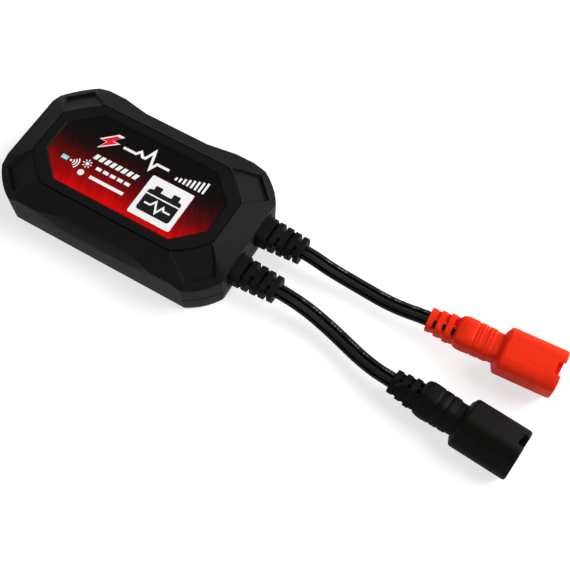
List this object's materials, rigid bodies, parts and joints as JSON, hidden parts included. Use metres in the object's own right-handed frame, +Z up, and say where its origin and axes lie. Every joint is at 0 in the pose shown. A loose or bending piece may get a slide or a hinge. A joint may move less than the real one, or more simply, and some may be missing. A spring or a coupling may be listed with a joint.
{
  "type": "car battery charger",
  "caption": "Wireless car battery tester in a faceted hand-held case with a face label, ribbed strain reliefs and short flat twin leads ending in keyed connectors.",
  "frame": {"origin": "on the underside, under the middle of the case", "axes": "+X along the case towards the leads, +Y towards the side of the positive lead, +Z up out of the label"},
  "size_m": [0.2204, 0.0606, 0.0228],
  "materials": {
    "case_black": "fine moulded grain",
    "label_print": "satin printed film, black fading to red with fine streaks",
    "window_clear": "clear light pipe",
    "seal_rubber": "matt",
    "screw_steel": "zinc plated",
    "board_green": "solder resist",
    "shield_metal": "tinned sheet",
    "chip_black": "moulded epoxy",
    "light_white": "diffuse",
    "resistor_ceramic": "ceramic",
    "capacitor_can": "drawn can",
    "inductor_grey": "ferrite",
    "terminal_brass": "tinned pin",
    "relief_rubber": "soft moulded, satin",
    "lead_black": "flexible jacket, satin",
    "connector_red": "moulded, satin",
    "connector_black": "moulded, satin",
    "contact_brass": "machined"
  },
  "bodies": {
    "root": {"upper_cover": "case_black", "lower_cover": "case_black", "face_label": "label_print", "light_window": "window_clear", "seal_ring": "seal_rubber", "case_screws": "screw_steel", "circuit_board": "board_green", "board_screws": "screw_steel", "radio_module": "shield_metal", "processor_chip": "chip_black", "crystal": "shield_metal", "status_light": "light_white", "load_resistors": "resistor_ceramic", "load_transistors": "chip_black", "capacitors": "capacitor_can", "inductor": "inductor_grey", "input_fuses": "resistor_ceramic", "wire_terminals": "terminal_brass", "strain_relief_positive": "relief_rubber", "strain_relief_negative": "relief_rubber", "inner_wires_positive": "lead_black", "inner_wires_negative": "lead_black", "lead_positive": "lead_black", "lead_negative": "lead_black", "connector_positive": "connector_red", "connector_negative": "connector_black", "contact_carrier_positive": "connector_red", "contact_carrier_negative": "connector_black", "contact_sockets_positive": "contact_brass", "contact_sockets_negative": "contact_brass"}
  },
  "joints": []
}
